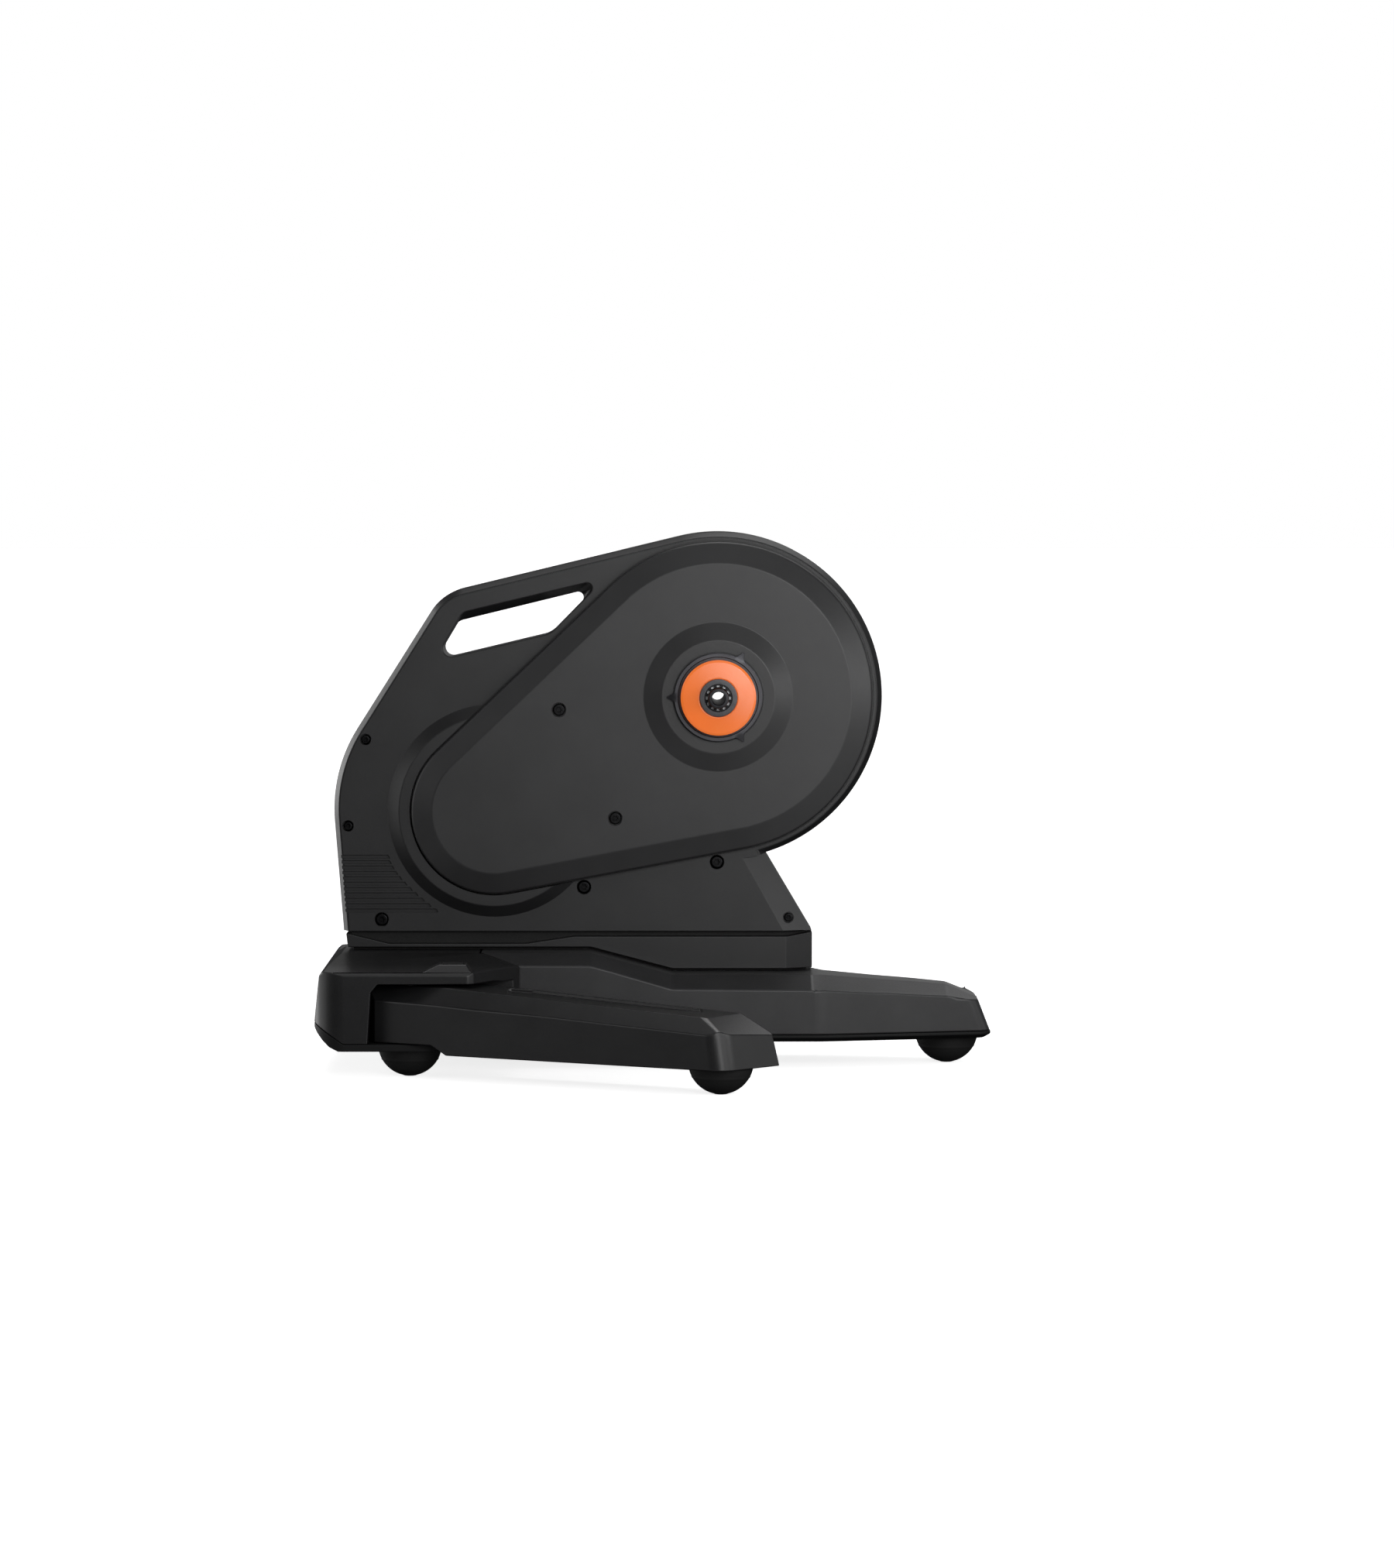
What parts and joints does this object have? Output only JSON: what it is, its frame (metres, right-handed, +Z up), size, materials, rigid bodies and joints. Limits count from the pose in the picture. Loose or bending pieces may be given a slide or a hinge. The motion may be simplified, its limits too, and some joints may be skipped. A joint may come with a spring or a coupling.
{
  "type": "direct drive bike trainer",
  "caption": "Indoor trainer that takes a bike in place of its rear wheel: sprocket on a hollow axle, belt to a braked flywheel, body with a grip, and a stand with folding legs.",
  "frame": {"origin": "on the floor, under the middle of the whole trainer with its legs open", "axes": "+X to the front of the bike, +Y to its left, so the chain side is at -Y, and +Z up"},
  "size_m": [0.6178, 0.6358, 0.4919],
  "materials": {
    "grey_plastic": "dark grey moulded plastic with a fine texture",
    "dark_plastic": "near-black moulded plastic",
    "cover_plastic": "grey moulded plastic, finely textured, a little lighter than the housing",
    "painted_metal": "cast aluminium under a dark grey satin powder coat",
    "cast_aluminium": "bare casting",
    "steel": "turned steel",
    "black_steel": "blackened",
    "bronze": "sintered bronze",
    "rubber": "matte black",
    "orange_plastic": "orange, satin",
    "copper_winding": "enamelled copper wire",
    "circuit_board": "green laminate",
    "light_lens": "frosted"
  },
  "bodies": {
    "trainer": {"drive_side_housing": "grey_plastic", "far_side_housing": "grey_plastic", "belt_cover": "cover_plastic", "housing_screw_1": "black_steel", "housing_screw_2": "black_steel", "housing_screw_3": "black_steel", "housing_screw_4": "black_steel", "housing_screw_5": "black_steel", "housing_screw_6": "black_steel", "cover_screw_1": "black_steel", "cover_screw_2": "black_steel", "pedestal": "dark_plastic", "frame_plate": "cast_aluminium", "hub_axle": "steel", "drive_end_cap": "steel", "far_end_cap": "steel", "hub_bearing_near": "steel", "hub_bearing_far": "steel", "flywheel_bearing_near": "steel", "flywheel_bearing_far": "steel", "drive_belt": "rubber", "brake_carrier": "cast_aluminium", "brake_core": "black_steel", "brake_coil_1": "copper_winding", "brake_coil_2": "copper_winding", "brake_coil_3": "copper_winding", "brake_coil_4": "copper_winding", "control_board": "circuit_board", "power_socket": "dark_plastic", "status_light": "light_lens", "front_beam": "painted_metal", "beam_tray": "dark_plastic", "base_rail": "steel", "rear_base": "painted_metal", "rear_tray": "dark_plastic", "front_foot": "rubber", "near_rear_foot": "rubber", "far_rear_foot": "rubber", "near_hinge_pin": "steel", "far_hinge_pin": "steel"},
    "flywheel": {"flywheel": "steel", "flywheel_shaft": "steel"},
    "hub_pulley": {"hub_pulley": "cast_aluminium"},
    "freehub": {"freehub_body": "cast_aluminium", "inner_guide_ring": "painted_metal", "sprocket": "steel", "outer_guide_disc": "orange_plastic", "lockring": "steel"},
    "near_leg": {"near_leg": "painted_metal", "near_leg_bush": "bronze", "near_leg_foot": "rubber"},
    "far_leg": {"far_leg": "painted_metal", "far_leg_bush": "bronze", "far_leg_foot": "rubber"},
    "near_release_button": {"near_release_button": "dark_plastic"},
    "far_release_button": {"far_release_button": "dark_plastic"}
  },
  "joints": [
    {"name": "flywheel_spin", "type": "hinge", "parent": "trainer", "child": "flywheel", "pos_m": [-0.1497, 0, 0.234], "axis": [0, 1, 0], "continuous": true},
    {"name": "hub_pulley_spin", "type": "hinge", "parent": "trainer", "child": "hub_pulley", "pos_m": [0.0573, 0, 0.34], "axis": [0, 1, 0], "continuous": true},
    {"name": "freehub_spin", "type": "hinge", "parent": "trainer", "child": "freehub", "pos_m": [0.0573, 0, 0.34], "axis": [0, 1, 0], "continuous": true},
    {"name": "near_leg_fold", "type": "hinge", "parent": "trainer", "child": "near_leg", "pos_m": [-0.2231, -0.12, 0.055], "axis": [0, 0, 1], "range_deg": [0, 29.4]},
    {"name": "far_leg_fold", "type": "hinge", "parent": "trainer", "child": "far_leg", "pos_m": [-0.2231, 0.12, 0.055], "axis": [0, 0, 1], "range_deg": [-29.4, 0]},
    {"name": "near_release_press", "type": "slide", "parent": "trainer", "child": "near_release_button", "axis": [0, 0, -1], "range_m": [0, 0.0025], "stiffness_N_per_m": 800, "springref_m": -0.004},
    {"name": "far_release_press", "type": "slide", "parent": "trainer", "child": "far_release_button", "axis": [0, 0, -1], "range_m": [0, 0.0025], "stiffness_N_per_m": 800, "springref_m": -0.004}
  ],
  "couplings": [
    {"joint": "hub_pulley_spin", "follows": "flywheel_spin", "ratio": 0.14286}
  ]
}
